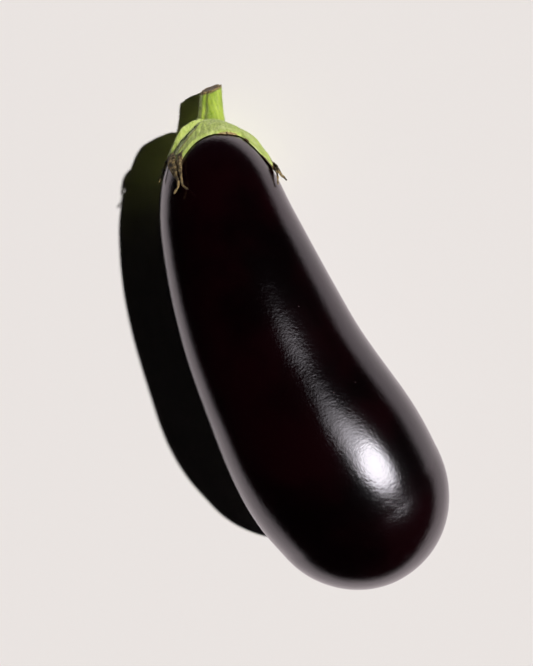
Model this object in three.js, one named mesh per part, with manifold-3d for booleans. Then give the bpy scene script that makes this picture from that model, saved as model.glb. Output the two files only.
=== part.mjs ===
// Whole eggplant lying on its side: bent glossy fruit, green lobed calyx, short cut stalk.
// Millimetres. +Z up, +Y towards the stalk, origin under the middle of the whole object.
// The fruit is the envelope of balls strung along a bent axis, and rests on a small flat spot.

import * as THREE from 'three';
import { mergeVertices } from 'three/addons/utils/BufferGeometryUtils.js';
import Module from 'manifold-3d';

// Fruit axis, stalk end first: sideways place, lengthways place, clearance of the underside, radius
const FRUIT_STATIONS = [
  [4.4, 75.4, 2.5, 20.8],
  [3.5, 70, 2.0, 24.6],
  [2.0, 60, 1.6, 28.0],
  [0.2, 44, 1.0, 31.0],
  [-0.7, 14, 0.0, 35.2],
  [0.9, -22, -0.8, 38.6],
  [5.8, -56.4, -0.4, 41.9],
  [10.0, -76.1, 0.6, 40.3],
];
const FRUIT_AROUND = 48;
const FRUIT_ROWS = 42;
const NECK_CAP_ROWS = 6;
const BLOSSOM_CAP_ROWS = 10;

// Shallow dimple at the blossom end
const DIMPLE_DEPTH = 1.6;
const DIMPLE_RADIUS = 6;

// Gap left between two pieces that touch on the real thing
const GAP = 0.35;

// Stalk: foot on the calyx, middle of its cut end, and the slanting plane of the cut
const STALK_FOOT = new THREE.Vector3(10.4, 97.8, 16.7);
const STALK_END = new THREE.Vector3(17.5, 117.1, 16.8);
const CUT_NORMAL = new THREE.Vector3(0.02, 0.85, 0.52).normalize();
const STALK_FOOT_RADIUS = 7.6;
const STALK_NECK_RADIUS = 5.5;
const STALK_END_RADIUS = 4.75;
const STALK_RIBS = 5;
const STALK_RIB_HEIGHT = 0.45;
const STALK_RIB_TURN = 0.6;
const STALK_FLARE = 1.8;
const STALK_KNEE = 5;
const STALK_AROUND = 30;
const STALK_ROWS = 9;

// Calyx: collar round the stalk's foot, fleshy cone below it, thin margin at the lobes
const SEAT_RADIUS = 8.3;
const COLLAR_RADIUS = 9.2;
const COLLAR_LIP = 0.7;
const CONE_HEIGHT = 4.0;
const CONE_REACH = 58;
const MARGIN_THICKNESS = 1.0;
const CALYX_AROUND = 78;
const CALYX_ROWS = 22;
const CALYX_OUTER_ROWS = 14;
const SEAT_ROWS = 2;
const LIP_ROWS = 2;
const LOWEST_CALYX_Z = 0.2;
const CONE_FALL = 1.2;
const FOLD_AT_COLLAR = 0.35;
const FOLD_RISE = 1.6;
const KEEL_HALF_WIDTH = 13;

// Lobes of the calyx. azimuth: degrees round the stalk's axis from the top, positive to +X.
// reach: polar angle of the tip in degrees, halfWidth: degrees, keel: height of the middle fold,
// sharpness: 1 is a straight-sided lobe and more is a slimmer one, lean: degrees that the tip
// swings sideways, lift: how far the tip stands off the fruit
const LOBES = [
  { azimuth: -32, reach: 112, halfWidth: 54, sharpness: 2.7, keel: 0.9, lean: 0, lift: 0.3 },
  { azimuth: -51, reach: 92, halfWidth: 30, sharpness: 1.6, keel: 3.0, lean: 0, lift: 0.1 },
  { azimuth: -112, reach: 98, halfWidth: 38, sharpness: 1.7, keel: 2.4, lean: 3, lift: 0.3 },
  { azimuth: -168, reach: 82, halfWidth: 34, sharpness: 1.5, keel: 0.5, lean: 0, lift: 0 },
  { azimuth: 140, reach: 93, halfWidth: 34, sharpness: 1.6, keel: 2.0, lean: -5, lift: 0.2 },
  { azimuth: 72, reach: 107, halfWidth: 31, sharpness: 0.8, keel: 1.2, lean: -8, lift: 0.6 },
];

// Furrows between two lobes: azimuth, depth where the cone is thick, and half width in degrees
const FURROWS = [
  { azimuth: -43, depth: 1.4, halfWidth: 6 },
  { azimuth: -82, depth: 1.6, halfWidth: 14 },
  { azimuth: 106, depth: 1.6, halfWidth: 14 },
  { azimuth: 165, depth: 1.2, halfWidth: 12 },
];

// On this side the folds and furrows run aslant: degrees sideways per polar degree, up to a polar angle
const SLANT = { azimuth: -35, halfWidth: 60, rate: 0.6, end: 92 };
const FURROW_SHARE = 0.75;
const BASE_REACH = 70;
const EDGE_WAVE = 1.6;

// Dry curled tips and spines: stations of [polar angle, azimuth, height above the fruit, half width]
const DRY_TIPS = [
  [
    [86, -42, 0.7, 1.8], [92, -40, 1.1, 2.4], [98, -37, 1.4, 2.6], [106, -33, 1.6, 1.9],
    [112, -30, 1.7, 1.3], [117, -27.5, 1.9, 0.9], [121, -26, 2.3, 0.8], [124.5, -30, 3.0, 0.5],
  ],
  [
    [92, -29, 0.7, 1.8], [98, -27.5, 1.1, 1.9], [104, -26.5, 1.4, 1.3], [109, -25.5, 1.6, 1.0],
    [114, -24.3, 1.8, 0.8], [119, -23.3, 1.9, 0.8], [122, -22, 2.2, 0.7], [125, -17, 3.0, 0.5],
  ],
  [
    [84, -49, 0.7, 1.7], [89, -51, 1.0, 1.5], [94, -53, 1.1, 1.1], [99, -54, 1.1, 0.8],
    [103, -55, 1.1, 0.65], [107, -57.5, 1.5, 0.45],
  ],
  [
    [81, -110, 0.7, 2.2], [88, -109, 1.3, 2.5], [95, -110, 1.6, 1.7], [101, -111, 2.1, 0.9],
    [105, -108, 3.0, 0.5],
  ],
  [
    [76, 137, 0.7, 2.2], [84, 136, 1.2, 2.5], [91, 134, 1.5, 1.7], [97, 131, 2.0, 0.9],
    [102, 126, 3.0, 0.5],
  ],
  [
    [93, 69, 0.8, 2.0], [99, 67, 1.4, 2.2], [104, 64.5, 1.9, 1.8], [108, 63, 2.3, 1.3],
    [110, 63.5, 2.8, 0.9], [112, 65.5, 3.4, 0.5],
  ],
  [
    [99, 67, 1.1, 1.2], [105, 63, 1.4, 1.0], [111, 60, 1.3, 0.8], [118, 56.5, 0.9, 0.4],
  ],
];
const TIP_THICKNESS = 0.75;
const TIP_FOLD = 0.35;
const TIP_SEGMENTS = 9;

const UP = new THREE.Vector3(0, 0, 1);
const wasm = await Module();
wasm.setup();

// Curves through the stations: centre of the ball, and its radius as the x of a second curve
const ballCentres = new THREE.CatmullRomCurve3(
  FRUIT_STATIONS.map(([x, y, clearance, radius]) => new THREE.Vector3(x, y, clearance + radius)),
  false,
  'catmullrom',
  0.5,
);
const ballRadii = new THREE.CatmullRomCurve3(
  FRUIT_STATIONS.map(([, , , radius]) => new THREE.Vector3(radius, 0, 0)),
  false,
  'catmullrom',
  0.5,
);

// Ball at t along the axis: centre, radius, and how the radius changes per millimetre of axis
function ballAt(t) {
  const step = 0.002;
  const before = Math.max(0, t - step);
  const after = Math.min(1, t + step);
  const run = ballCentres.getPoint(after).distanceTo(ballCentres.getPoint(before));
  const growth = (ballRadii.getPoint(after).x - ballRadii.getPoint(before).x) / run;
  const centre = ballCentres.getPoint(t);
  const radius = ballRadii.getPoint(t).x;
  const along = ballCentres.getTangent(t);
  return { centre, radius, growth, along };
}

// Point of the fruit's skin: v runs from the neck's pole (0) to the blossom end's pole (1)
function skinPoint(v, angle) {
  const row = v * FRUIT_ROWS;
  const bodyRows = FRUIT_ROWS - NECK_CAP_ROWS - BLOSSOM_CAP_ROWS;
  const t = THREE.MathUtils.clamp((row - NECK_CAP_ROWS) / bodyRows, 0, 1);
  const { centre, radius, growth, along } = ballAt(t);
  const side = new THREE.Vector3().crossVectors(along, UP).normalize();
  const top = new THREE.Vector3().crossVectors(side, along);
  const spoke = side.multiplyScalar(Math.cos(angle)).addScaledVector(top, Math.sin(angle));
  let tilt = Math.acos(-growth);
  let depth = 0;
  if (row < NECK_CAP_ROWS) {
    tilt = Math.PI - (Math.PI - tilt) * (row / NECK_CAP_ROWS);
  }
  const rowsLeft = FRUIT_ROWS - row;
  if (rowsLeft < BLOSSOM_CAP_ROWS) {
    tilt *= rowsLeft / BLOSSOM_CAP_ROWS;
    depth = DIMPLE_DEPTH * Math.exp(-((tilt * radius / DIMPLE_RADIUS) ** 2));
  }
  const normal = along.multiplyScalar(Math.cos(tilt)).addScaledVector(spoke, Math.sin(tilt));
  return centre.addScaledVector(normal, radius - depth);
}

// Height of a point above the fruit's skin
const MEASURING_BALLS = Array.from({ length: 91 }, (_, i) => ballAt(i / 90));
function heightAboveSkin(point) {
  return Math.min(...MEASURING_BALLS.map((ball) => point.distanceTo(ball.centre) - ball.radius));
}

// Calyx frame: polar angles are measured at the neck's first ball, from the line to the stalk's foot
const hub = ballAt(0).centre;
const stalkAxis = STALK_FOOT.clone().sub(hub).normalize();
const seatDistance = STALK_FOOT.distanceTo(hub);
const rightward = new THREE.Vector3().crossVectors(stalkAxis, UP).normalize();
const topward = new THREE.Vector3().crossVectors(rightward, stalkAxis);

function rayFromHub(polarDegrees, azimuthDegrees) {
  const polar = THREE.MathUtils.degToRad(polarDegrees);
  const azimuth = THREE.MathUtils.degToRad(azimuthDegrees);
  return stalkAxis.clone().multiplyScalar(Math.cos(polar))
    .addScaledVector(topward, Math.sin(polar) * Math.cos(azimuth))
    .addScaledVector(rightward, Math.sin(polar) * Math.sin(azimuth));
}

// Point on that ray at a wanted height above the skin, found by halving the interval
function pointOverSkin(polarDegrees, azimuthDegrees, height) {
  const ray = rayFromHub(polarDegrees, azimuthDegrees);
  let near = 0;
  let far = 90;
  for (let i = 0; i < 24; i += 1) {
    const middle = (near + far) / 2;
    if (heightAboveSkin(hub.clone().addScaledVector(ray, middle)) < height) {
      near = middle;
    } else {
      far = middle;
    }
  }
  return hub.clone().addScaledVector(ray, near);
}

// Degrees from one azimuth to another, in -180..180
function turnBetween(from, to) {
  return THREE.MathUtils.euclideanModulo(to - from + 180, 360) - 180;
}

// How far the calyx reaches down the fruit at an azimuth, and what its lobes do there
function lobesAt(azimuth) {
  let reach = BASE_REACH + EDGE_WAVE * Math.sin(THREE.MathUtils.degToRad(azimuth * 7));
  let ridge = 0;
  let keel = 0;
  let lean = 0;
  let lift = 0;
  for (const lobe of LOBES) {
    const turn = Math.abs(turnBetween(lobe.azimuth, azimuth));
    const nearness = 1 - turn / lobe.halfWidth;
    if (nearness > 0) {
      reach = Math.max(reach, BASE_REACH + (lobe.reach - BASE_REACH) * nearness ** lobe.sharpness);
      if (nearness > ridge) {
        ridge = nearness;
        keel = lobe.keel * Math.max(0, 1 - turn / KEEL_HALF_WIDTH);
        lean = lobe.lean * nearness;
        lift = lobe.lift * nearness ** 2;
      }
    }
  }
  return { reach, keel, lean, lift };
}

// Depth that the furrows ask for at an azimuth
function furrowAt(azimuth) {
  return Math.max(...FURROWS.map((furrow) => (
    furrow.depth * Math.max(0, 1 - Math.abs(turnBetween(furrow.azimuth, azimuth)) / furrow.halfWidth))));
}

// Sideways run of the folds at a place on the calyx
function slantAt(polar, azimuth) {
  const nearness = 1 - Math.abs(turnBetween(SLANT.azimuth, azimuth)) / SLANT.halfWidth;
  return SLANT.rate * Math.max(0, SLANT.end - polar) * Math.sqrt(Math.max(0, nearness));
}

// Outer and inner face of the calyx. down runs from the stalk (0) to the margin (1)
function calyxPoint(outer, down, azimuth) {
  const { reach, lean, lift } = lobesAt(azimuth);
  const collarPolar = THREE.MathUtils.radToDeg(Math.atan(COLLAR_RADIUS / seatDistance));
  const seatPolar = THREE.MathUtils.radToDeg(Math.atan(SEAT_RADIUS / seatDistance));
  const swing = azimuth + lean * down ** 2;
  if (!outer) {
    const height = GAP + lift * down ** 3;
    return pointOverSkin(reach * down, swing, height);
  }
  // Seat of the stalk, then the lip round it, then the cone and the lobes
  const row = Math.round(down * CALYX_OUTER_ROWS);
  if (row <= SEAT_ROWS) {
    const polar = seatPolar * (row / SEAT_ROWS);
    const distance = seatDistance / Math.cos(THREE.MathUtils.degToRad(polar));
    return hub.clone().addScaledVector(rayFromHub(polar, azimuth), distance);
  }
  if (row <= SEAT_ROWS + LIP_ROWS) {
    const polar = seatPolar + (collarPolar - seatPolar) * ((row - SEAT_ROWS) / LIP_ROWS);
    const lip = row < SEAT_ROWS + LIP_ROWS ? COLLAR_LIP : COLLAR_LIP / 2;
    const distance = (seatDistance + lip) / Math.cos(THREE.MathUtils.degToRad(polar));
    return hub.clone().addScaledVector(rayFromHub(polar, azimuth), distance);
  }
  const along = (row - SEAT_ROWS - LIP_ROWS) / (CALYX_OUTER_ROWS - SEAT_ROWS - LIP_ROWS);
  const polar = collarPolar + 1 + (reach - collarPolar - 1) * along;
  const coneShare = Math.max(0, 1 - (polar - collarPolar) / CONE_REACH) ** CONE_FALL;
  const cone = CONE_HEIGHT * coneShare * (1 - along ** 3);
  const straightened = azimuth - slantAt(polar, azimuth);
  const fold = lobesAt(straightened).keel * Math.min(1, FOLD_AT_COLLAR + along * FOLD_RISE) * (1 - along ** 2);
  const furrow = Math.min(furrowAt(straightened), FURROW_SHARE * (cone + fold));
  const height = GAP + MARGIN_THICKNESS + cone + fold - furrow + lift * down ** 3;
  const point = pointOverSkin(polar, swing, height);
  point.z = Math.max(point.z, LOWEST_CALYX_Z);
  return point;
}

// Closed mesh bent out of a ready-made one: place(x, y, z) gives each corner's new position
function reshaped(geometry, place) {
  geometry.deleteAttribute('normal');
  geometry.deleteAttribute('uv');
  const merged = mergeVertices(geometry, 1e-4);
  const positions = merged.getAttribute('position');
  for (let i = 0; i < positions.count; i += 1) {
    const point = place(positions.getX(i), positions.getY(i), positions.getZ(i));
    positions.setXYZ(i, point.x, point.y, point.z);
  }
  return merged;
}

function toSolid(geometry) {
  return new wasm.Manifold(new wasm.Mesh({
    numProp: 3,
    vertProperties: new Float32Array(geometry.getAttribute('position').array),
    triVerts: new Uint32Array(geometry.getIndex().array),
  }));
}

function toGeometry(solid) {
  const mesh = solid.getMesh();
  const geometry = new THREE.BufferGeometry();
  geometry.setAttribute('position', new THREE.BufferAttribute(new Float32Array(mesh.vertProperties), 3));
  geometry.setIndex(new THREE.BufferAttribute(new Uint32Array(mesh.triVerts), 1));
  return geometry;
}

// Fruit: a sphere's grid laid over the skin, cut level where it rests
function makeFruit() {
  const sphere = new THREE.SphereGeometry(1, FRUIT_AROUND, FRUIT_ROWS);
  const skin = reshaped(sphere, (x, y, z) => {
    const v = Math.acos(THREE.MathUtils.clamp(y, -1, 1)) / Math.PI;
    return skinPoint(v, Math.atan2(-z, x));
  });
  const table = new THREE.BoxGeometry(400, 400, 50);
  table.translate(0, 0, -25);
  const tableSolid = toSolid(reshaped(table, (x, y, z) => new THREE.Vector3(x, y, z)));
  return toGeometry(toSolid(skin).subtract(tableSolid));
}

// One dry tip: a thin strip folded along its middle, tapering and curling as its stations say
function makeDryTip(stations) {
  const centres = new THREE.CatmullRomCurve3(stations.map(([polar, azimuth, height]) => (
    pointOverSkin(polar, azimuth, height))));
  const widths = new THREE.SplineCurve(stations.map(([, , , width], i) => (
    new THREE.Vector2(i / (stations.length - 1), width))));
  const strip = new THREE.BoxGeometry(2, 1, 1, 2, TIP_SEGMENTS, 1);
  return toSolid(reshaped(strip, (x, y, z) => {
    const t = y + 0.5;
    const centre = centres.getPoint(t);
    const along = centres.getTangent(t);
    const outward = centre.clone().sub(hub);
    outward.addScaledVector(along, -outward.dot(along)).normalize();
    const across = new THREE.Vector3().crossVectors(outward, along);
    const width = widths.getPoint(t).y;
    const fold = TIP_FOLD * width * (1 - Math.abs(x));
    return centre.addScaledVector(across, -x * width).addScaledVector(outward, z * TIP_THICKNESS + fold);
  }));
}

// Calyx: one closed sheet over the shoulders of the fruit, with the dry tips grown on to its lobes
function makeCalyx() {
  const sphere = new THREE.SphereGeometry(1, CALYX_AROUND, CALYX_ROWS);
  const sheet = reshaped(sphere, (x, y, z) => {
    const v = Math.acos(THREE.MathUtils.clamp(y, -1, 1)) / Math.PI;
    const azimuth = THREE.MathUtils.radToDeg(Math.atan2(x, z));
    const row = v * CALYX_ROWS;
    if (row < CALYX_OUTER_ROWS + 0.5) {
      return calyxPoint(true, row / CALYX_OUTER_ROWS, azimuth);
    }
    return calyxPoint(false, (CALYX_ROWS - row) / (CALYX_ROWS - CALYX_OUTER_ROWS), azimuth);
  });
  let solid = toSolid(sheet);
  for (const stations of DRY_TIPS) {
    solid = solid.add(makeDryTip(stations));
  }
  return toGeometry(solid);
}

// Stalk: a ribbed post that flares on to the calyx and ends in a slanting cut
function makeStalk() {
  const foot = STALK_FOOT.clone().addScaledVector(stalkAxis, GAP);
  const knee = foot.clone().addScaledVector(stalkAxis, STALK_KNEE);
  const heart = new THREE.QuadraticBezierCurve3(foot, knee, STALK_END);
  const post = new THREE.CylinderGeometry(1, 1, 1, STALK_AROUND, STALK_ROWS);
  return reshaped(post, (x, y, z) => {
    const t = y + 0.5;
    const along = heart.getTangent(t);
    const side = new THREE.Vector3().crossVectors(along, UP).normalize();
    const top = new THREE.Vector3().crossVectors(side, along);
    const angle = Math.atan2(z, x);
    const spread = Math.hypot(x, z);
    const flare = (STALK_FOOT_RADIUS - STALK_NECK_RADIUS) * (1 - t) ** STALK_FLARE;
    const end = (STALK_END_RADIUS - STALK_NECK_RADIUS) * t ** 2;
    const rib = STALK_RIB_HEIGHT * Math.cos(angle * STALK_RIBS - STALK_RIB_TURN) * Math.min(1, t * 3);
    const radius = spread * (STALK_NECK_RADIUS + flare + end + rib);
    const point = heart.getPoint(t)
      .addScaledVector(side, radius * Math.cos(angle))
      .addScaledVector(top, radius * Math.sin(angle));
    const shortfall = STALK_END.clone().sub(point).dot(CUT_NORMAL) / along.dot(CUT_NORMAL);
    // Only the upper half leans over to the plane of the cut
    return point.addScaledVector(along, t > 0.5 ? shortfall * t ** 4 : 0);
  });
}

const skinMaterial = new THREE.MeshStandardMaterial({ color: 0x12060f, roughness: 0.16, metalness: 0 });
const calyxMaterial = new THREE.MeshStandardMaterial({ color: 0x93ab55, roughness: 0.75, metalness: 0 });
const stalkMaterial = new THREE.MeshStandardMaterial({ color: 0xa3c24f, roughness: 0.7, metalness: 0 });

const eggplant = new THREE.Group();

const fruit = new THREE.Mesh(makeFruit(), skinMaterial);
fruit.name = 'fruit';
eggplant.add(fruit);

const calyx = new THREE.Mesh(makeCalyx(), calyxMaterial);
calyx.name = 'calyx';
eggplant.add(calyx);

const stalk = new THREE.Mesh(makeStalk(), stalkMaterial);
stalk.name = 'stem';
eggplant.add(stalk);

// The origin goes under the middle of the whole object
const box = new THREE.Box3().setFromObject(eggplant);
const middle = box.getCenter(new THREE.Vector3());
eggplant.position.set(-middle.x, -middle.y, 0);

export default eggplant;
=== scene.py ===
# Whole eggplant lying on its side: glossy near-black fruit, downy green calyx with withered lobe
# tips, ribbed cut stalk. Lengths are in millimetres until a mesh is made, and MM turns them to metres.

import math
import bmesh
import bpy
import numpy as np
from mathutils import Matrix, Vector, noise


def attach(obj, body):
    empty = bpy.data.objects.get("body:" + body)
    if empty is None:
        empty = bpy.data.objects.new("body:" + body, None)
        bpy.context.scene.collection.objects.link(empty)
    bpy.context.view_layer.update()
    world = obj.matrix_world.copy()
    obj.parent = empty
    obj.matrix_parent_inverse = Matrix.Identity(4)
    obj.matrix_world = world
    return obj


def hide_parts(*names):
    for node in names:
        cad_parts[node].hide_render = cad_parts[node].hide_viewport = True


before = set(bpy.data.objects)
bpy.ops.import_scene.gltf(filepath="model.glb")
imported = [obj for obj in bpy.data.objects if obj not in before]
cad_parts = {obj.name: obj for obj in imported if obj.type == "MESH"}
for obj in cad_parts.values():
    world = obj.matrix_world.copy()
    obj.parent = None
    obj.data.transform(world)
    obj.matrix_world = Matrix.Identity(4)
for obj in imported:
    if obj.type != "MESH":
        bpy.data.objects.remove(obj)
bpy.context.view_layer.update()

MM = 0.001
MIDDLE = np.array([-6.300, -1.796, 0.0])
UP = np.array([0.0, 0.0, 1.0])
chance = np.random.default_rng(7)

# Fruit: sideways place, lengthways place, height of the axis, radius, from the neck to the blossom end
FRUIT_STATIONS = np.array([
    [4.4, 75.4, 23.3, 20.8],
    [3.5, 70.0, 26.6, 24.6],
    [2.0, 60.0, 29.6, 28.0],
    [0.2, 44.0, 32.0, 31.0],
    [-0.7, 14.0, 35.2, 35.2],
    [0.9, -22.0, 37.8, 38.6],
    [5.8, -56.4, 41.5, 41.9],
    [10.0, -76.1, 40.9, 40.3],
])
FRUIT_AROUND = 64
NECK_RINGS = 8
BODY_RINGS = 34
BLOSSOM_RINGS = 15
DIMPLE_DEPTH = 1.6
DIMPLE_RADIUS = 6.0
SCENE_GAP = 0.05

# Stalk
STALK_FOOT = np.array([10.4, 97.8, 16.7])
STALK_END = np.array([17.5, 117.1, 16.8])
CUT_NORMAL = np.array([0.02, 0.85, 0.52])
STALK_FOOT_RADIUS = 7.6
STALK_NECK_RADIUS = 5.5
STALK_END_RADIUS = 4.75
STALK_AROUND = 60
STALK_RINGS = 15
# Grooves along the stalk: angle round it, depth, half width in degrees
STALK_GROOVES = ((115, 0.9, 12), (43, 0.5, 12), (-29, 0.7, 12), (-101, 0.7, 12), (187, 0.8, 11),
                 (88, 0.18, 6), (143, 0.25, 7))

# Calyx
SEAT_RADIUS = 8.3
COLLAR_RADIUS = 9.2
COLLAR_LIP = 0.7
CONE_HEIGHT = 4.0
CONE_REACH = 58.0
MARGIN_THICKNESS = 0.8
BASE_REACH = 70.0
EDGE_WAVE = 1.6
CALYX_AROUND = 540
MM_PER_DEGREE = 0.42
SEAT_ROWS = 4
LIP_ROWS = 5
LOBE_ROWS = 84
INNER_ROWS = 14
CALYX_ROWS = SEAT_ROWS + LIP_ROWS + LOBE_ROWS + INNER_ROWS
# azimuth, reach of the tip, half width, sharpness, keel height, lean of the tip, lift of the tip
LOBES = [
    (-32, 112, 54, 2.7, 0.9, 0, 0.3),
    (-51, 92, 30, 1.6, 3.0, 0, 0.1),
    (-112, 98, 38, 1.7, 2.4, 3, 0.3),
    (-168, 82, 34, 1.5, 0.5, 0, 0.0),
    (140, 93, 34, 1.6, 2.0, -5, 0.2),
    (72, 107, 31, 0.8, 1.2, -8, 0.6),
]
KEEL_HALF_WIDTH = 13.0
# Furrows between two lobes: azimuth, depth, half width
FURROWS = [(-43, 1.4, 6), (-82, 1.6, 14), (106, 1.6, 14), (165, 1.2, 12)]
# Aslant folds on the front left: middle, half width, degrees sideways per polar degree, last polar angle
SLANT = (-35, 60, 0.6, 92)
# Withered tips: polar angle, azimuth, height over the skin, half width
DRY_TIPS = {
    "tip_front_near": [(86, -42, 0.7, 1.8), (92, -40, 1.2, 2.4), (98, -37, 1.4, 2.6), (106, -33, 1.6, 1.9),
                       (112, -30, 1.7, 1.3), (117, -27.5, 1.9, 0.8), (121, -26, 2.3, 0.65), (124.5, -30, 3.0, 0.35)],
    "tip_front_far": [(92, -29, 0.7, 1.8), (98, -27.5, 1.2, 1.9), (104, -26.5, 1.4, 1.2), (109, -25.5, 1.6, 0.95),
                      (114, -24.3, 1.8, 0.7), (119, -23.3, 1.9, 0.6), (122, -22, 2.2, 0.55), (125, -17, 3.0, 0.35)],
    "tip_back_left": [(84, -49, 0.5, 1.6), (89, -51, 0.8, 1.3), (94, -53, 0.9, 0.9), (99, -54, 1.0, 0.6),
                      (103, -55, 1.1, 0.45), (107, -57.5, 1.5, 0.3)],
    "tip_under_left": [(81, -110, 0.7, 2.2), (88, -109, 1.4, 2.5), (95, -110, 1.6, 1.7), (101, -111, 2.1, 0.9),
                       (105, -108, 3.0, 0.4)],
    "tip_under_right": [(76, 137, 0.7, 2.2), (84, 136, 1.3, 2.5), (91, 134, 1.5, 1.7), (97, 131, 2.0, 0.9),
                        (102, 126, 3.0, 0.4)],
    "tip_right": [(93, 69, 0.8, 2.0), (99, 67, 1.5, 2.1), (104, 64.5, 2.0, 1.7), (108, 63, 2.4, 1.2),
                  (110, 63.5, 2.9, 0.9), (112, 65.5, 3.4, 0.45)],
    "spine_right": [(99, 67, 1.1, 1.2), (105, 63, 1.4, 0.8), (111, 60, 1.3, 0.55), (118, 56.5, 0.9, 0.25)],
}


# Curves and frames of the fruit
def through(stations, t):
    """Smooth curve through the stations, t from 0 at the first to 1 at the last."""
    points = np.asarray(stations, float)
    last = len(points) - 1
    place = np.clip(np.asarray(t, float), 0, 1) * last
    left = np.minimum(place.astype(int), last - 1)
    w = (place - left)[..., None]
    padded = np.vstack([2 * points[0] - points[1], points, 2 * points[-1] - points[-2]])
    p0, p1, p2, p3 = (padded[left + k] for k in range(4))
    slope1 = (p2 - p0) / 2
    slope2 = (p3 - p1) / 2
    return p1 + slope1 * w + (3 * (p2 - p1) - 2 * slope1 - slope2) * w**2 + (2 * (p1 - p2) + slope1 + slope2) * w**3


def unit(vectors):
    return vectors / np.linalg.norm(vectors, axis=-1, keepdims=True)


def ball_at(t):
    """Centre, radius, growth of the radius per millimetre, and direction of the axis."""
    here = through(FRUIT_STATIONS, t)
    after = through(FRUIT_STATIONS, min(1, t + 0.002))
    before = through(FRUIT_STATIONS, max(0, t - 0.002))
    step = after[:3] - before[:3]
    run = np.linalg.norm(step)
    return here[:3], here[3], (after[3] - before[3]) / run, step / run


BALLS = through(FRUIT_STATIONS, np.linspace(0, 1, 91))
HUB = BALLS[0, :3]
STALK_AXIS = unit(STALK_FOOT - HUB)
SEAT_DISTANCE = np.linalg.norm(STALK_FOOT - HUB)
RIGHTWARD = unit(np.cross(STALK_AXIS, UP))
TOPWARD = np.cross(RIGHTWARD, STALK_AXIS)
COLLAR_POLAR = math.degrees(math.atan(COLLAR_RADIUS / SEAT_DISTANCE))
SEAT_POLAR = math.degrees(math.atan(SEAT_RADIUS / SEAT_DISTANCE))


def ray(polar, azimuth):
    """Direction from the hub at a polar angle from the stalk's axis and an azimuth from the top."""
    polar, azimuth = np.radians(polar), np.radians(azimuth)
    return (np.cos(polar)[..., None] * STALK_AXIS
            + (np.sin(polar) * np.cos(azimuth))[..., None] * TOPWARD
            + (np.sin(polar) * np.sin(azimuth))[..., None] * RIGHTWARD)


def over_skin(polar, azimuth, height):
    """Point on that ray at a height over the skin: where the ray leaves the last of the swollen balls."""
    polar, azimuth, height = np.broadcast_arrays(*(np.asarray(a, float) for a in (polar, azimuth, height)))
    direction = ray(polar, azimuth)
    offset = BALLS[:, :3] - HUB
    ahead = direction @ offset.T
    inside = ahead**2 - (offset**2).sum(1) + (BALLS[:, 3] + height[..., None]) ** 2
    leaving = np.where(inside > 0, ahead + np.sqrt(np.maximum(inside, 0)), 0).max(-1)
    return HUB + direction * leaving[..., None]


# Modelling by hand: rings are laid and bridged, then the piece is finished with modifiers
def start_piece(name):
    """An empty piece at the origin, open in edit mode."""
    bpy.ops.object.select_all(action="DESELECT")
    bpy.ops.mesh.primitive_circle_add(vertices=3, radius=MM, location=(0, 0, 0))
    piece = bpy.context.object
    piece.name = name
    piece.data.name = name
    bpy.ops.object.mode_set(mode="EDIT")
    bpy.ops.mesh.select_mode(type="VERT")
    bpy.ops.mesh.select_all(action="SELECT")
    bpy.ops.mesh.delete(type="VERT")
    return piece


def choose(piece, wanted):
    """Selects the vertices that wanted() says, by number and place."""
    mesh = bmesh.from_edit_mesh(piece.data)
    for vertex in mesh.verts:
        vertex.select = bool(wanted(vertex.index, vertex.co))
    mesh.select_flush_mode()
    bmesh.update_edit_mesh(piece.data)


def lay_ring(middle, right, up, wide, high, around):
    """One ring of the loft, square to right and up."""
    turn = Matrix((right, up, np.cross(right, up))).transposed()
    centre = Vector((middle + MIDDLE) * MM)
    bpy.ops.mesh.primitive_circle_add(vertices=around, radius=wide * MM, location=centre, rotation=turn.to_euler())
    if high != wide:
        bpy.ops.transform.resize(
            value=(1, high / wide, 1), orient_type="LOCAL", orient_matrix=turn, orient_matrix_type="LOCAL",
            constraint_axis=(False, True, False), center_override=centre)


def draw_over(piece, rings, around):
    """Bridges ring to ring and closes both ends."""
    for ring in rings:
        lay_ring(*ring, around)
    for k in range(len(rings) - 1):
        choose(piece, lambda index, place: k * around <= index < (k + 2) * around)
        bpy.ops.mesh.bridge_edge_loops()
    for end in (0, len(rings) - 1):
        choose(piece, lambda index, place: end * around <= index < (end + 1) * around)
        bpy.ops.mesh.edge_face_add()
    bpy.ops.mesh.select_all(action="SELECT")
    bpy.ops.mesh.normals_make_consistent(inside=False)


def smooth_out(piece, levels):
    """Adds a subdivision surface and applies it."""
    modifier = piece.modifiers.new("Smooth", "SUBSURF")
    modifier.levels = levels
    modifier.render_levels = levels
    bpy.ops.object.modifier_apply(modifier=modifier.name)


def roughen(piece, size, strength, group=""):
    """Pushes the surface in and out by a soft cloud pattern of that size."""
    pattern = bpy.data.textures.new(piece.name + "_swell", "CLOUDS")
    pattern.noise_scale = size * MM
    pattern.noise_depth = 1
    modifier = piece.modifiers.new("Swell", "DISPLACE")
    modifier.texture = pattern
    modifier.texture_coords = "LOCAL"
    modifier.strength = strength * MM
    modifier.mid_level = 0.5
    if group:
        modifier.vertex_group = group
    bpy.ops.object.modifier_apply(modifier=modifier.name)


def shade_smooth(piece):
    for face in piece.data.polygons:
        face.use_smooth = True
    piece.data.update()


def hand_over(piece, node, material):
    """Gives the finished piece its finish and its body, and hides the node that it stands for."""
    piece.data.materials.clear()
    piece.data.materials.append(material)
    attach(piece, "root")
    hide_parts(node)


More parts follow.
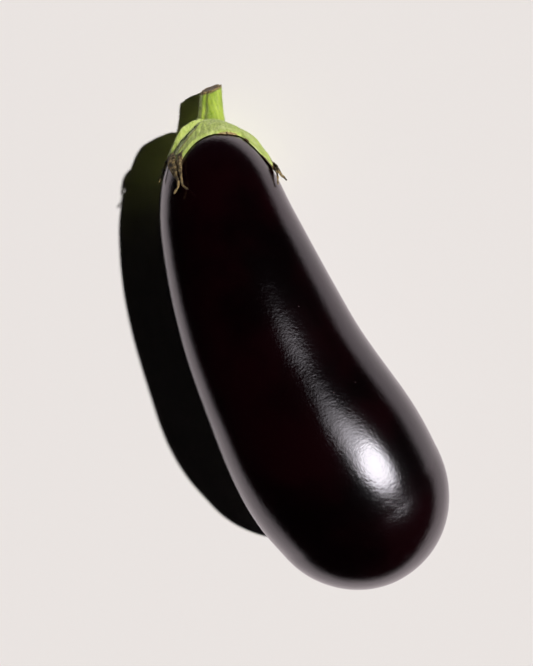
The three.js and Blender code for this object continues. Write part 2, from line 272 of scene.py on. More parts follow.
# Shader arithmetic
class Number:
    """A value in a finish: an expression on it adds the Math nodes."""

    def __init__(self, finish, socket):
        self.finish = finish
        self.socket = socket

    def math(self, operation, first, second=0.0):
        node = self.finish.add("ShaderNodeMath", {"operation": operation}, {0: first, 1: second})
        return Number(self.finish, node.outputs[0])

    def __add__(self, other):
        return self.math("ADD", self, other)

    def __sub__(self, other):
        return self.math("SUBTRACT", self, other)

    def __rsub__(self, other):
        return self.math("SUBTRACT", other, self)

    def __mul__(self, other):
        return self.math("MULTIPLY", self, other)

    __radd__ = __add__
    __rmul__ = __mul__

    def between(self, low, high):
        """0 below low, 1 above high, smooth between them. low may be the larger."""
        node = self.finish.add("ShaderNodeMapRange", {"interpolation_type": "SMOOTHSTEP"}, {
            "Value": self, "From Min": low, "From Max": high})
        return Number(self.finish, node.outputs[0])


class Finish:
    """A material under construction."""

    def __init__(self, name):
        self.material = bpy.data.materials.new(name)
        self.material.use_nodes = True
        self.tree = self.material.node_tree
        self.shader = self.tree.nodes["Principled BSDF"]
        self.place = self.add("ShaderNodeTexCoord").outputs["Object"]

    def add(self, kind, settings=None, sockets=None):
        """Adds a node: its settings first, then a value or a link for each socket."""
        node = self.tree.nodes.new(kind)
        for name, value in (settings or {}).items():
            if name == "stops":
                ramp = node.color_ramp
                for k, (position, colour) in enumerate(value):
                    stop = ramp.elements[k] if k < 2 else ramp.elements.new(position)
                    stop.position = position
                    stop.color = (*colour, 1)
            else:
                setattr(node, name, value)
        for key, value in (sockets or {}).items():
            if isinstance(value, Number):
                value = value.socket
            if isinstance(value, bpy.types.NodeSocket):
                self.tree.links.new(value, node.inputs[key])
            else:
                node.inputs[key].default_value = value
        return node

    def grain(self, size, detail=2.0, roughness=0.5, stretch=None, vector=None, warp=0.0):
        """Cloudy noise whose blobs are about that many millimetres across."""
        vector = vector or self.place
        if stretch:
            vector = self.add("ShaderNodeMapping", {}, {"Vector": vector, "Scale": stretch}).outputs[0]
        node = self.add("ShaderNodeTexNoise", {"normalize": True}, {
            "Vector": vector, "Scale": 1 / (size * MM), "Detail": detail, "Roughness": roughness, "Distortion": warp})
        return Number(self, node.outputs[0])

    def painted(self, name):
        """A value painted on the mesh."""
        node = self.add("ShaderNodeAttribute", {"attribute_name": name})
        return Number(self, node.outputs["Fac"])

    def distance_to(self, point):
        """Millimetres from a point."""
        node = self.add("ShaderNodeVectorMath", {"operation": "DISTANCE"}, {
            0: self.place, 1: tuple(np.array(point) * MM)})
        return Number(self, node.outputs["Value"]) * 1000.0

    def along(self, direction, point):
        """Millimetres from a point along a direction."""
        direction = unit(np.array(direction))
        node = self.add("ShaderNodeVectorMath", {"operation": "DOT_PRODUCT"}, {0: self.place, 1: tuple(direction)})
        return Number(self, node.outputs["Value"]) * 1000.0 - float(np.dot(direction, point))

    def mix(self, share, under, over):
        """Colour under, covered by colour over as far as share says."""
        def colour(value):
            return value if isinstance(value, bpy.types.NodeSocket) else (*value, 1)
        node = self.add("ShaderNodeMix", {"data_type": "RGBA"}, {0: share, 6: colour(under), 7: colour(over)})
        return node.outputs[2]

    def wear(self, **sockets):
        """Sets the shader's sockets."""
        for key, value in sockets.items():
            name = key.replace("_", " ")
            if isinstance(value, Number):
                value = value.socket
            if isinstance(value, bpy.types.NodeSocket):
                self.tree.links.new(value, self.shader.inputs[name])
            else:
                self.shader.inputs[name].default_value = value

    def bump(self, height, depth, strength=1.0, under=None):
        """Normal that a height of 0 to 1, worth that many millimetres, gives."""
        sockets = {"Strength": strength, "Distance": depth * MM, "Height": height}
        if under is not None:
            sockets["Normal"] = under
        return self.add("ShaderNodeBump", {}, sockets).outputs[0]


# Fruit
def make_fruit():
    """Ball-shaped rings along the bent axis, a dimple at the blossom end, flat where it rests."""
    piece = start_piece("fruit_skin")
    rings = []
    for k in range(NECK_RINGS + BODY_RINGS + BLOSSOM_RINGS - 1):
        t = min(1, max(0, (k + 1 - NECK_RINGS) / (BODY_RINGS - 1)))
        centre, radius, growth, along = ball_at(t)
        tilt = math.acos(-growth)
        depth = 0.0
        if k + 1 < NECK_RINGS:
            tilt = math.pi - (math.pi - tilt) * (k + 1) / NECK_RINGS
        left = NECK_RINGS + BODY_RINGS + BLOSSOM_RINGS - 1 - k
        if left < BLOSSOM_RINGS:
            tilt *= left / BLOSSOM_RINGS
            depth = DIMPLE_DEPTH * math.exp(-((tilt * radius / DIMPLE_RADIUS) ** 2))
        side = unit(np.cross(along, UP))
        top = np.cross(side, along)
        middle = centre + along * math.cos(tilt) * (radius - depth)
        size = (radius - depth) * math.sin(tilt)
        rings.append((middle, side, top, size, size))
    draw_over(piece, rings, FRUIT_AROUND)
    bpy.ops.object.mode_set(mode="OBJECT")
    smooth_out(piece, 2)
    open_skin = piece.vertex_groups.new(name="open_skin")
    for vertex in piece.data.vertices:
        below_hub = float((HUB - (np.array(vertex.co) / MM - MIDDLE)) @ STALK_AXIS)
        open_skin.add([vertex.index], min(1, max(0, (below_hub - 6) / 30)), "REPLACE")
    roughen(piece, 24, 0.22, "open_skin")
    roughen(piece, 7, 0.05, "open_skin")
    bpy.ops.object.mode_set(mode="EDIT")
    choose(piece, lambda index, place: place.z < 0)
    bpy.ops.transform.resize(value=(1, 1, 0), center_override=(0, 0, 0))
    bpy.ops.object.mode_set(mode="OBJECT")
    shade_smooth(piece)
    return piece


def skin_finish():
    """Near-black aubergine skin: wine red where light goes in, waxy gloss, fine pores and a few pale flecks."""
    skin = Finish("aubergine_skin")
    end, end_radius, _, end_along = ball_at(1)
    scar_place = end + end_along * (end_radius - DIMPLE_DEPTH) + MIDDLE
    tone = skin.grain(38, detail=3)
    colour = skin.mix(tone.between(0.35, 0.65), (0.0012, 0.0002, 0.0004), (0.0055, 0.0004, 0.0011))
    neck = skin.distance_to(HUB + MIDDLE).between(34, 22)
    colour = skin.mix(neck * 0.5, colour, (0.006, 0.001, 0.003))
    fleck_cells = skin.add("ShaderNodeTexVoronoi", {"feature": "F1"}, {"Vector": skin.place, "Scale": 210.0})
    near_cell = Number(skin, fleck_cells.outputs["Distance"])
    cell_pick = Number(skin, skin.add("ShaderNodeSeparateColor", {}, {0: fleck_cells.outputs["Color"]}).outputs[0])
    flecks = near_cell.between(0.060, 0.030) * cell_pick.between(0.80, 0.84)
    colour = skin.mix(flecks * 0.5, colour, (0.16, 0.11, 0.12))
    scar_edge = skin.grain(2.2, detail=3)
    scar = (skin.distance_to(scar_place) + scar_edge * 1.6).between(3.4, 2.6)
    cork = skin.mix(skin.grain(0.8, detail=3).between(0.35, 0.65), (0.16, 0.10, 0.05), (0.34, 0.25, 0.15))
    colour = skin.mix(scar, colour, cork)
    haze = skin.grain(60, detail=2).between(0.35, 0.7)
    rough = 0.12 + haze * 0.03 + skin.grain(3.5, detail=3) * 0.03
    rough = rough + scar * 0.5
    pores = skin.grain(0.9, detail=3, roughness=0.6)
    dents = skin.grain(2.4, detail=2)
    normal = skin.bump(pores, 0.07)
    normal = skin.bump(dents, 0.04, under=normal)
    normal = skin.bump(scar * scar_edge, 0.5, under=normal)
    skin.wear(Base_Color=colour, Roughness=rough, Normal=normal, IOR=1.65, Specular_Tint=(0.97, 0.93, 1.0, 1.0))
    return skin.material


# Calyx
def lobes_at(azimuth):
    """Reach, keel, lean and lift at each azimuth, nearness to the lobe's middle and the signed share across."""
    reach = BASE_REACH + EDGE_WAVE * np.sin(np.radians(azimuth * 7))
    keel, lean, lift, nearest, across = (np.zeros_like(azimuth) for _ in range(5))
    for middle, tip, half, sharp, height, swing, up in LOBES:
        turn = (azimuth - middle + 180) % 360 - 180
        near = 1 - np.abs(turn) / half
        lobe_reach = BASE_REACH + (tip - BASE_REACH) * np.maximum(near, 0) ** sharp
        reach = np.where(near > 0, np.maximum(reach, lobe_reach), reach)
        first = near > nearest
        nearest = np.where(first, near, nearest)
        across = np.where(first, turn / half, across)
        keel = np.where(first, height * np.maximum(0, 1 - np.abs(turn) / KEEL_HALF_WIDTH), keel)
        lean = np.where(first, swing * near, lean)
        lift = np.where(first, up * near**2, lift)
    return reach, keel, lean, lift, nearest, across


def wave(x, y, z=0.0):
    """Soft noise of -1 to 1 at each pair of places."""
    return np.array([noise.noise(Vector((a, b, z))) for a, b in zip(x, y)])


def on_sheet(polar, azimuth):
    """Millimetres down and across the calyx, near enough, laid out flat."""
    return np.stack([polar * MM_PER_DEGREE, azimuth * np.sin(np.radians(polar)) * MM_PER_DEGREE], -1)


def stroke_nearness(points, stroke, width, fade=1.0):
    """1 on a painted stroke, given by polar angle and azimuth, and 0 past its width in millimetres."""
    line = through(np.array(stroke, float), np.linspace(0, 1, 12))
    line = on_sheet(line[:, 0], line[:, 1])
    nearest = np.full(len(points), 1e9)
    for a, b in zip(line[:-1], line[1:]):
        span = b - a
        share = np.clip(((points - a) @ span) / (span @ span), 0, 1)
        nearest = np.minimum(nearest, np.linalg.norm(points - a - share[:, None] * span, axis=1))
    return np.clip((width + fade - nearest) / fade, 0, 1)


def ramp(values, low, high):
    share = np.clip((values - low) / (high - low), 0, 1)
    return share * share * (3 - 2 * share)


def make_calyx():
    """The fleshy cap: one closed sheet from the stalk's seat over the cone and lobes and back underneath."""
    bpy.ops.object.select_all(action="DESELECT")
    bpy.ops.mesh.primitive_grid_add(x_subdivisions=CALYX_AROUND, y_subdivisions=CALYX_ROWS, size=1, location=(0, 0, 0))
    piece = bpy.context.object
    piece.name = "calyx_flesh"
    piece.data.name = "calyx_flesh"
    mesh = piece.data
    flat = np.empty(len(mesh.vertices) * 3)
    mesh.vertices.foreach_get("co", flat)
    flat = flat.reshape(-1, 3)
    azimuth = flat[:, 0] * 360
    row = np.round((flat[:, 1] + 0.5) * CALYX_ROWS)

    reach, _, lean, lift, nearest, across = lobes_at(azimuth)
    edge_noise = wave(azimuth / 5, azimuth * 0, 3.3) * np.cos(np.radians(azimuth / 2)) ** 2
    reach = reach + 1.1 * edge_noise
    along = np.clip((row - SEAT_ROWS - LIP_ROWS) / LOBE_ROWS, 0, 1)
    polar = COLLAR_POLAR + 1 + (reach - COLLAR_POLAR - 1) * along
    down = 0.28 + 0.72 * along
    swing = azimuth + lean * down**2
    cone = CONE_HEIGHT * np.maximum(0, 1 - (polar - COLLAR_POLAR) / CONE_REACH) ** 1.2 * (1 - along**3)
    middle, half, rate, end = SLANT
    in_slant = np.maximum(0, 1 - np.abs((azimuth - middle + 180) % 360 - 180) / half)
    straight = azimuth - rate * np.maximum(0, end - polar) * np.sqrt(in_slant)
    keel = lobes_at(straight)[1]
    fold = keel * np.minimum(1, 0.35 + along * 1.6) * (1 - along**2)
    furrow = np.zeros_like(azimuth)
    for middle, deep, half in FURROWS:
        turn = np.abs((straight - middle + 180) % 360 - 180)
        furrow = np.maximum(furrow, deep * np.maximum(0, 1 - turn / half))
    furrow = np.minimum(furrow, 0.8 * (cone + fold))
    sideways = azimuth * 0.40
    downways = polar * MM_PER_DEGREE
    rib = np.exp(-((across * 14) ** 2)) * (nearest > 0) * ramp(along, 0.05, 0.3) * (1 - along**4)
    wrinkle = wave(sideways / 1.5, downways / 8) * 0.30 + wave(sideways / 0.7, downways / 3.5, 7.0) * 0.14
    pimple = wave(sideways / 0.8, downways / 0.9, 4.0) * 0.09
    curl = ramp(along, 0.86, 1.0) * 0.5 * wave(sideways / 3.5, downways / 20, 9.0)
    margin_taper = ramp(along, 0.91, 1.0)
    thick = MARGIN_THICKNESS * (1 - 0.85 * margin_taper)
    height = SCENE_GAP + thick + cone + fold - furrow + lift * down**3
    height += rib * 0.45 + (wrinkle * (0.35 + along) + pimple) * (1 - 0.9 * margin_taper) + curl * 0.4
    height = np.maximum(height, SCENE_GAP + lift * down**3 + 0.45 - 0.35 * margin_taper)
    lobe_place = over_skin(polar, swing, height)

    seat_share = np.clip(row / SEAT_ROWS, 0, 1)
    lip_share = np.clip((row - SEAT_ROWS) / LIP_ROWS, 0, 1)
    top_polar = SEAT_POLAR * seat_share + (COLLAR_POLAR - SEAT_POLAR) * lip_share
    lip = np.where(row > SEAT_ROWS, COLLAR_LIP * np.sin(np.pi * (0.12 + 0.7 * lip_share)) + pimple * 2, 0)
    seat_place = HUB + ray(top_polar, azimuth) * ((SEAT_DISTANCE + lip) / np.cos(np.radians(top_polar)))[:, None]

    under = np.clip((CALYX_ROWS - row) / INNER_ROWS, 0, 1)
    inner_place = over_skin(reach * under, azimuth + lean * under**2, SCENE_GAP + lift * under**3)

    outside = row <= SEAT_ROWS + LIP_ROWS + LOBE_ROWS
    on_top = row <= SEAT_ROWS + LIP_ROWS
    place = np.where(outside[:, None], lobe_place, inner_place)
    place = np.where(on_top[:, None], seat_place, place)
    place[:, 2] = np.maximum(place[:, 2], 0.2)
    mesh.vertices.foreach_set("co", ((place + MIDDLE) * MM).ravel())

    # What the finish reads: millimetres to the margin, how dry the tissue is, dark lines, ribs and hollows, and painted
    # shade in the hollows, the groove, the grey strip and the lower front-left lobe
    sheet = on_sheet(polar, swing)
    to_margin = (reach - polar) * MM_PER_DEGREE
    tip_dry = np.zeros_like(polar)
    for middle, half, start, end in ((-32, 11, 94, 103), (-56, 14, 84, 93), (-112, 26, 82, 93), (-168, 26, 76, 84),
                                     (140, 26, 78, 90), (68, 26, 99, 106)):
        turn = np.abs((azimuth - middle + 180) % 360 - 180)
        tip_dry = np.maximum(tip_dry, ramp(polar, start, end) * (turn < half))
    front = ramp(to_margin, 2.6 * ramp(azimuth, 0, 22) + 0.2, 0.0) * ramp(azimuth, 4, 14) * ramp(azimuth, 46, 24)
    dry = np.maximum(tip_dry, front * 0.9)
    cream = ramp(to_margin, 2.0, 0.8) * np.maximum(ramp(azimuth, -34, -24) * ramp(azimuth, 10, 0) * 0.2,
                                                   ramp(azimuth, 38, 46) * ramp(azimuth, 70, 60))
    # Painted shade on the lower part of the front-left lobe, right of its keel.
    shade = ramp(polar, 62, 74) * ramp(straight, -34, -30) * ramp(azimuth, 4, -10)
    # Grey-green down on the strip between the front-left keel and the groove, darkened there as painted shade.
    grey = ramp(straight, -46, -43) * ramp(straight, -31, -34) * ramp(polar, 26, 34) * ramp(polar, 100, 90)
    per_degree = MM_PER_DEGREE * np.sin(np.radians(polar))
    wander = wave(downways / 3.0, azimuth * 0, 5.0) * 0.35
    keel_line = ramp(np.abs((straight + 32) * per_degree + wander), 0.75, 0.2)
    keel_line = keel_line * ramp(polar, 48, 62) * ramp(polar, 104, 96)
    # Painted shadow: a dark line along the furrow left of the front-left keel.
    groove_shade = ramp(np.abs((straight + 43) * per_degree + wander), 0.75, 0.2)
    groove_shade = groove_shade * ramp(polar, 40, 48) * ramp(polar, 102, 94)
    dark = stroke_nearness(sheet, [(69.3, 20), (70.2, 20.8)], 0.15, 0.5)
    dark = np.maximum(dark, stroke_nearness(sheet, [(73, 41), (75, 42.5), (77, 43.5)], 0.4, 0.5))
    dark = np.maximum(dark, ramp(to_margin, 1.5, 0.6) * ramp(polar, 88, 96) * (np.abs(swing - 60) < 14))
    for stroke in ([(90, 66), (98, 64), (105, 62)], [(84, 71), (94, 69), (104, 66)], [(84, -37), (94, -34), (104, -32)],
                   [(78, -47), (86, -50), (94, -53)], [(90, -26), (98, -27)], [(64, -24), (69, -25), (74, -27)]):
        dark = np.maximum(dark, stroke_nearness(sheet, stroke, 0.1, 0.5) * 0.8)
    # Painted shade: darker green in the furrows and in the hollows of the wrinkles.
    hollow_shade = np.clip(furrow * 0.5, 0, 1) * 0.4 + np.clip(-wrinkle * 2.6, 0, 1) * 0.7
    painted = {"dry": dry, "dark": dark, "keel": keel_line, "groove_shade": groove_shade, "rib": rib, "cream": cream,
               "grey": grey, "shade": shade, "hollow_shade": np.clip(hollow_shade, 0, 1)}
    for name, values in painted.items():
        layer = mesh.attributes.new(name, "FLOAT", "POINT")
        layer.data.foreach_set("value", values.astype(np.float32))

    bpy.ops.object.mode_set(mode="EDIT")
    bpy.ops.mesh.select_all(action="SELECT")
    bpy.ops.mesh.remove_doubles(threshold=0.00001)
    bpy.ops.mesh.normals_make_consistent(inside=False)
    bpy.ops.object.mode_set(mode="OBJECT")
    shade_smooth(piece)
    return piece


def leaf_finish():
    """Downy calyx flesh: streaky yellow green, paler ribs, tan papery edges, brown lines, and painted shade in the
    hollows, the groove and on the front-left lobe.
    """
    leaf = Finish("calyx_down")
    around = leaf.add("ShaderNodeUVMap", {"uv_map": "UVMap"}).outputs[0]
    streaks = leaf.grain(1.0, detail=3, roughness=0.6, stretch=(0.16, 0.012, 1), vector=around)
    fine_streaks = leaf.grain(1.0, detail=2, stretch=(0.42, 0.035, 1), vector=around)
    blotches = leaf.grain(5.0, detail=4, roughness=0.6)
    fuzz = leaf.grain(0.5, detail=3, roughness=0.7)
    colour = leaf.mix(streaks.between(0.35, 0.65), (0.40, 0.52, 0.075), (0.64, 0.74, 0.19))
    colour = leaf.mix(blotches.between(0.5, 0.7) * 0.6, colour, (0.72, 0.79, 0.32))
    colour = leaf.mix(fine_streaks.between(0.55, 0.70) * 0.25, colour, (0.25, 0.35, 0.05))
    colour = leaf.mix(fuzz.between(0.55, 0.75) * 0.25, colour, (0.80, 0.84, 0.42))
    colour = leaf.mix(leaf.painted("rib") * 0.35, colour, (0.62, 0.70, 0.18))
    # Painted shade in the furrows and wrinkle hollows.
    colour = leaf.mix(leaf.painted("hollow_shade") * 0.45, colour, (0.15, 0.21, 0.035))
    colour = leaf.mix(leaf.painted("cream") * blotches.between(0.35, 0.6) * 0.5, colour, (0.66, 0.66, 0.44))
    # The grey strip: pale grey-green down mixed with darker painted shade.
    grey_down_and_shade = leaf.mix(fuzz.between(0.4, 0.6), (0.17, 0.20, 0.09), (0.46, 0.51, 0.33))
    colour = leaf.mix(leaf.painted("grey") * 0.75, colour, grey_down_and_shade)
    # Painted shade on the lower front-left lobe.
    colour = leaf.mix(leaf.painted("shade") * 0.3, colour, (0.26, 0.32, 0.09))
    dry_tone = leaf.mix(streaks.between(0.35, 0.65), (0.20, 0.11, 0.035), (0.52, 0.38, 0.17))
    ragged = (leaf.painted("dry") + (fuzz - 0.5) * 0.5 + (fine_streaks - 0.5) * 0.5).between(0.35, 0.65)
    colour = leaf.mix(ragged, colour, dry_tone)
    colour = leaf.mix(leaf.painted("keel") * fuzz.between(0.30, 0.55) * 0.85, colour, (0.24, 0.17, 0.025))
    # Painted shadow along the furrow left of the front-left keel.
    groove_shade = (leaf.painted("groove_shade") * 1.2 + (fuzz - 0.5) * 0.8).between(0.35, 0.8)
    colour = leaf.mix(groove_shade, colour, (0.020, 0.028, 0.010))
    dark = (leaf.painted("dark") * 1.3 + (fuzz - 0.5) * 0.6).between(0.3, 0.8)
    colour = leaf.mix(dark, colour, (0.070, 0.030, 0.010))
    specks = leaf.grain(1.1, detail=2).between(0.72, 0.78)
    colour = leaf.mix(specks * 0.6, colour, (0.20, 0.13, 0.04))
    normal = leaf.bump(fine_streaks, 0.12)
    normal = leaf.bump(blotches, 0.5, under=normal)
    normal = leaf.bump(fuzz, 0.12, under=normal)
    leaf.wear(Base_Color=colour, Roughness=0.66 + ragged * 0.2, Normal=normal, Sheen_Weight=0.08,
              Sheen_Roughness=0.5)
    return leaf.material


def make_dry_tip(name, stations):
    """A withered strip: flat rings along its curl, folded along the middle and crumpled."""
    piece = start_piece(name)
    stations = np.array(stations, float)
    centres = over_skin(stations[:, 0], stations[:, 1], stations[:, 2])
    rings = []
    count = 18
    around = 12
    for k in range(count):
        t = k / (count - 1)
        here = through(centres, t)
        along = unit(through(centres, min(1, t + 0.01)) - through(centres, max(0, t - 0.01)))
        outward = here - HUB
        outward = unit(outward - along * (outward @ along))
        across = np.cross(along, outward)
        twist = math.radians(14 * math.sin(t * 9 + stations[0, 0]))
        right = across * math.cos(twist) + outward * math.sin(twist)
        width = float(through(stations[:, 3:4], t)[0])
        width *= 1 + 0.12 * math.sin(t * 23 + stations[0, 1])
        thick = 0.42 - 0.12 * t
        rings.append((here, right, np.cross(right, along) * -1, max(width, 0.25), thick))
    draw_over(piece, rings, around)
    # The fold: the middle of the outer face rises and the middle of the inner face follows it
    ridge = {11, 0, 1, 5, 6, 7}
    mesh = bmesh.from_edit_mesh(piece.data)
    mesh.verts.ensure_lookup_table()
    for k, ring in enumerate(rings):
        lift = Vector(unit(ring[0] - HUB) * ring[3] * 0.28 * MM)
        for j in ridge:
            mesh.verts[k * around + j].co += lift
    bmesh.update_edit_mesh(piece.data)
    bpy.ops.object.mode_set(mode="OBJECT")
    smooth_out(piece, 2)
    roughen(piece, 1.3, 0.7)
    shade_smooth(piece)
    return piece


def dry_finish():
    """Withered tissue: papery tan with brown fibres."""
    dry = Finish("withered_tissue")
    fibres = dry.grain(0.9, detail=4, roughness=0.65, warp=0.6)
    patches = dry.grain(2.8, detail=3)
    colour = dry.mix(patches.between(0.38, 0.62), (0.045, 0.026, 0.008), (0.34, 0.235, 0.095))
    colour = dry.mix(fibres.between(0.57, 0.7) * 0.8, colour, (0.56, 0.44, 0.22))
    colour = dry.mix(fibres.between(0.49, 0.38) * 0.95, colour, (0.013, 0.008, 0.003))
    normal = dry.bump(fibres, 0.45)
    dry.wear(Base_Color=colour, Roughness=0.75, Normal=normal, Sheen_Weight=0.04)
    return dry.material


# Stalk
def stalk_heart(t):
    """Middle of the stalk at t, and its direction, 0 at the calyx and 1 at the cut."""
    foot = STALK_FOOT + STALK_AXIS * -0.3
    knee = foot + STALK_AXIS * 5
    middle = foot * (1 - t) ** 2 + knee * 2 * t * (1 - t) + STALK_END * t**2
    along = unit((knee - foot) * (1 - t) + (STALK_END - knee) * t)
    if t > 1:
        middle = STALK_END + unit(STALK_END - knee) * (t - 1) * 20
        along = unit(STALK_END - knee)
    return middle, along


def make_stalk():
    """Ribbed post with a flared foot, sawn off aslant, its corky end face sunk a little."""
    piece = start_piece("stalk_post")
    rings = []
    for k in range(STALK_RINGS):
        t = 1.2 * k / (STALK_RINGS - 1)
        middle, along = stalk_heart(t)
        side = unit(np.cross(along, UP))
        top = np.cross(side, along)
        radius = STALK_NECK_RADIUS + (STALK_FOOT_RADIUS - STALK_NECK_RADIUS) * max(0, 1 - t) ** 1.8
        radius += (STALK_END_RADIUS - STALK_NECK_RADIUS) * min(t, 1) ** 2
        rings.append((middle, side, top, radius, radius))
    draw_over(piece, rings, STALK_AROUND)
    mesh = bmesh.from_edit_mesh(piece.data)
    mesh.verts.ensure_lookup_table()
    for k, (middle, side, top, radius, _) in enumerate(rings):
        t = 1.2 * k / (STALK_RINGS - 1)
        centre = Vector((middle + MIDDLE) * MM)
        for j in range(STALK_AROUND):
            vertex = mesh.verts[k * STALK_AROUND + j]
            spoke = (vertex.co - centre).normalized()
            angle = math.degrees(math.atan2(spoke.dot(Vector(top)), spoke.dot(Vector(side))))
            change = 0.25
            for middle_angle, depth, width in STALK_GROOVES:
                turn = (angle - middle_angle + 180) % 360 - 180
                change -= depth * math.exp(-((turn / width) ** 2)) * min(1, t * 3 + 0.15)
            vertex.co += spoke * change * MM
    bmesh.update_edit_mesh(piece.data)
    bpy.ops.mesh.select_all(action="SELECT")
    bpy.ops.mesh.bisect(
        plane_co=Vector((STALK_END + MIDDLE) * MM), plane_no=Vector(unit(CUT_NORMAL)), use_fill=True,
        clear_outer=True, clear_inner=False, threshold=0.000001)
    bpy.ops.mesh.select_all(action="SELECT")
    bpy.ops.mesh.remove_doubles(threshold=0.00012)
    cut_place = Vector((STALK_END + MIDDLE) * MM)
    cut_normal = Vector(unit(CUT_NORMAL))
    choose(piece, lambda index, place: abs((place - cut_place).dot(cut_normal)) < 0.00002)
    for sink, share in ((0.1, 0.93), (-0.35, 0.93), (-0.3, 0.75), (-0.1, 0.6), (0.15, 0.5)):
        bpy.ops.mesh.extrude_region_move()
        bpy.ops.transform.resize(value=(share, share, share), center_override=cut_place)
        bpy.ops.transform.translate(value=cut_normal * sink * MM)
    bpy.ops.object.mode_set(mode="OBJECT")
    smooth_out(piece, 2)
    roughen(piece, 1.8, 0.35)
    shade_smooth(piece)
    return piece


def stalk_finish():
    """Downy green stalk: pale and dark lengthwise streaks, pale fuzz, corky brown cut with a darker middle."""
    stalk = Finish("stalk_rind")
    cut = stalk.along(CUT_NORMAL, STALK_END + MIDDLE)
    lengthwise = tuple(Matrix.Rotation(math.radians(20), 3, "Z").to_euler())
    turned = stalk.add("ShaderNodeMapping", {}, {
        "Vector": stalk.place, "Rotation": lengthwise, "Scale": (1, 0.08, 1)}).outputs[0]
    streaks = stalk.grain(0.9, detail=3, roughness=0.6, vector=turned)
    wide_streaks = stalk.grain(2.4, detail=2, vector=turned)
    fuzz = stalk.grain(0.45, detail=3, roughness=0.7)
    colour = stalk.mix(wide_streaks.between(0.35, 0.65), (0.24, 0.36, 0.020), (0.42, 0.54, 0.055))
    colour = stalk.mix(streaks.between(0.55, 0.72) * 0.6, colour, (0.55, 0.63, 0.14))
    colour = stalk.mix(streaks.between(0.42, 0.30) * 0.5, colour, (0.13, 0.19, 0.013))
    colour = stalk.mix(fuzz.between(0.5, 0.75) * 0.3, colour, (0.55, 0.60, 0.24))
    rim = (cut + (fuzz - 0.5) * 1.6).between(-1.3, -0.5)
    cork_tone = stalk.grain(0.9, detail=4, roughness=0.7)
    cork = stalk.mix(cork_tone.between(0.35, 0.65), (0.075, 0.040, 0.010), (0.38, 0.27, 0.10))
    pith = stalk.distance_to(STALK_END + MIDDLE).between(4.2, 2.4)
    cork = stalk.mix(pith * cork_tone.between(0.7, 0.4), cork, (0.075, 0.035, 0.010))
    colour = stalk.mix(rim, colour, cork)
    normal = stalk.bump(streaks, 0.18)
    normal = stalk.bump(fuzz, 0.12, under=normal)
    normal = stalk.bump(rim * cork_tone, 0.5, under=normal)
    stalk.wear(Base_Color=colour, Roughness=0.62, Normal=normal, Sheen_Weight=0.08, Sheen_Roughness=0.5)
    return stalk.material


# Down
def make_down(name, piece, count, longest, wanted):
    """Short straight hairs, leaning a little each way, standing on the faces of a piece that wanted() keeps: one hair
    modelled and copied.
    """
    bpy.ops.object.select_all(action="DESELECT")
    bpy.ops.mesh.primitive_cone_add(vertices=3, radius1=0.055, radius2=0.0, depth=1, end_fill_type="NOTHING",
                                    location=(0, 0, 0.5))
    hair = bpy.context.object
    bpy.ops.object.transform_apply(location=True, rotation=True, scale=True)
    shape = np.array([vertex.co for vertex in hair.data.vertices])
    hair_faces = [tuple(face.vertices) for face in hair.data.polygons]
    bpy.data.objects.remove(hair)
    mesh = piece.data
    centres = np.empty(len(mesh.polygons) * 3)
    normals = np.empty(len(mesh.polygons) * 3)
    areas = np.empty(len(mesh.polygons))
    mesh.polygons.foreach_get("center", centres)
    mesh.polygons.foreach_get("normal", normals)
    mesh.polygons.foreach_get("area", areas)
    centres = centres.reshape(-1, 3) / MM - MIDDLE
    normals = normals.reshape(-1, 3)
    weight = areas * wanted(centres, normals)
    picks = chance.choice(len(areas), size=count, p=weight / weight.sum())
    root = centres[picks] + chance.normal(0, 0.12, (count, 3))
    lie = unit(normals[picks] + chance.normal(0, 0.45, (count, 3)))
    length = longest * (0.35 + 0.65 * chance.random(count) ** 1.5)
    helper = unit(np.cross(lie, chance.normal(0, 1, (count, 3))))
    third = np.cross(lie, helper)
    places = (root[:, None, :] - lie[:, None, :] * 0.12
              + helper[:, None, :] * shape[None, :, 0:1] + third[:, None, :] * shape[None, :, 1:2]
              + lie[:, None, :] * (shape[None, :, 2:3] * length[:, None, None]))
    faces = [tuple(i + n * len(shape) for i in face) for n in range(count) for face in hair_faces]
    down_mesh = bpy.data.meshes.new(name)
    down_mesh.from_pydata(((places.reshape(-1, 3) + MIDDLE) * MM).tolist(), [], faces)
    down = bpy.data.objects.new(name, down_mesh)
    bpy.context.collection.objects.link(down)
    return down


def down_finish(name, colour_low, colour_high):
    down = Finish(name)
    tone = down.grain(3, detail=2)
    down.wear(Base_Color=down.mix(tone.between(0.35, 0.65), colour_low, colour_high), Roughness=0.7)
    return down.material


# The pieces
fruit = make_fruit()
hand_over(fruit, "fruit", skin_finish())

calyx = make_calyx()
hand_over(calyx, "calyx", leaf_finish())

withered = dry_finish()
for tip_name, tip_stations in DRY_TIPS.items():
    tip = make_dry_tip(tip_name, tip_stations)
    hand_over(tip, "calyx", withered)

stalk_piece = make_stalk()
hand_over(stalk_piece, "stem", stalk_finish())

calyx_down = make_down("calyx_hairs", calyx, 7000, 1.0,
                       lambda place, normal: (np.linalg.norm(place - HUB, axis=1) > 22.3) * (normal @ UP > -0.8) * 1.0)
hand_over(calyx_down, "calyx", down_finish("calyx_hair", (0.36, 0.42, 0.14), (0.62, 0.66, 0.36)))
stalk_down = make_down("stalk_hairs", stalk_piece, 5000, 1.1,
                       lambda place, normal: ((place - STALK_END) @ unit(CUT_NORMAL) < -0.5) * 1.0)
hand_over(stalk_down, "stem", down_finish("stalk_hair", (0.38, 0.44, 0.14), (0.62, 0.65, 0.34)))

# Camera straight overhead, turned so that the fruit lies aslant as in the photograph
CAMERA_HEIGHT = 0.300
PICTURE_TURN = math.radians(-21.3)
camera = bpy.data.objects.new("camera", bpy.data.cameras.new("camera"))
bpy.context.collection.objects.link(camera)
camera.location = (MIDDLE[0] * MM, MIDDLE[1] * MM, CAMERA_HEIGHT)
camera.rotation_euler = (0, 0, PICTURE_TURN)
camera.data.lens = 32.43
camera.data.clip_start = 0.01
bpy.context.scene.camera = camera

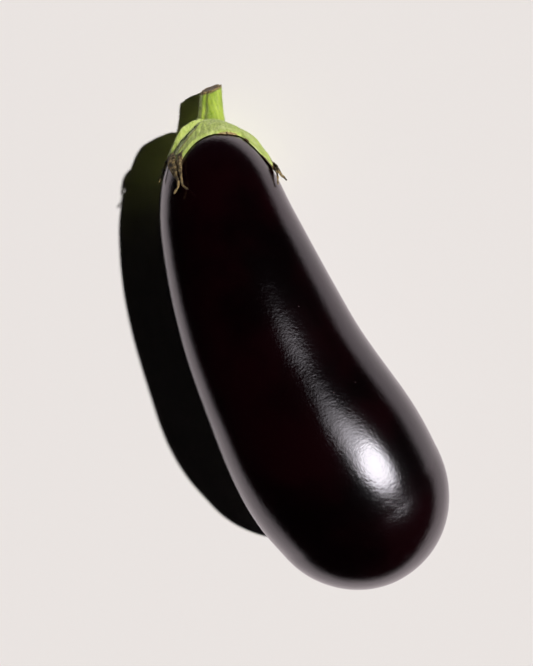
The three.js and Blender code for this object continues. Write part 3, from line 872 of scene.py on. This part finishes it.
# Lamps: the key, which the skin doesn't mirror, and three disks that light nothing and are only mirrored
def add_lamp(name, kind, towards, energy, distance=0.6):
    """A lamp that shines on the fruit's belly from that direction."""
    lamp = bpy.data.objects.new(name, bpy.data.lights.new(name, kind))
    bpy.context.collection.objects.link(lamp)
    aim = Vector(towards).normalized()
    lamp.location = Vector((0, -0.03, 0.05)) + aim * distance
    lamp.rotation_euler = aim.to_track_quat("Z", "Y").to_euler()
    lamp.data.energy = energy
    return lamp


key = add_lamp("key_lamp", "SUN", (0.572, -0.337, 1.0), 3.72)
key.data.angle = math.radians(1.6)
key.visible_glossy = False
for name, towards, across, energy in (("soft_box", (0.84, -0.33, 1.0), 0.30, 3.2),
                                      ("soft_box_halo", (0.72, -0.14, 1.0), 0.38, 1.35),
                                      ("spill", (0.47, 0.14, 1.0), 0.26, 0.32)):
    box = add_lamp(name, "AREA", towards, energy)
    box.data.shape = "DISK"
    box.data.size = across
    box.visible_diffuse = False
room = bpy.data.worlds.new("room")
bpy.context.scene.world = room
room.use_nodes = True
room.node_tree.nodes["Background"].inputs["Color"].default_value = (1.0, 0.98, 0.95, 1)
room.node_tree.nodes["Background"].inputs["Strength"].default_value = 0.0015
bpy.context.scene.view_settings.view_transform = "Standard"

# Table: a slightly purple sheet that is only mirrored in the skin, and the pale surface that the camera sees
for name, left, right, near, far, depth, pale, shade in (
        ("table_sheet", -0.150, 0.37, -0.285, 0.217, -0.0003, (0.84, 0.74, 0.76), (0.79, 0.69, 0.71)),
        ("table_around", -1.5, 1.5, -1.5, 1.5, -0.0001, (0.835, 0.790, 0.768), (0.79, 0.745, 0.72))):
    paper = Finish(name)
    paper.wear(Base_Color=paper.mix(paper.grain(2.0, detail=4) * 0.2, pale, shade), Roughness=0.9)
    paper.shader.inputs["Specular IOR Level"].default_value = 0.0
    bpy.ops.object.select_all(action="DESELECT")
    bpy.ops.mesh.primitive_plane_add(size=1, location=((left + right) / 2, (near + far) / 2, depth))
    table = bpy.context.object
    table.name = name
    table.scale = (right - left, far - near, 1)
    bpy.ops.object.transform_apply(location=True, rotation=False, scale=True)
    table.rotation_euler = (0, 0, PICTURE_TURN)
    bpy.ops.object.transform_apply(location=True, rotation=True, scale=True)
    table.data.materials.append(paper.material)
    table.visible_glossy = name == "table_sheet"
    table.visible_camera = name != "table_sheet"
    table.visible_diffuse = name != "table_sheet"
    table.visible_shadow = False
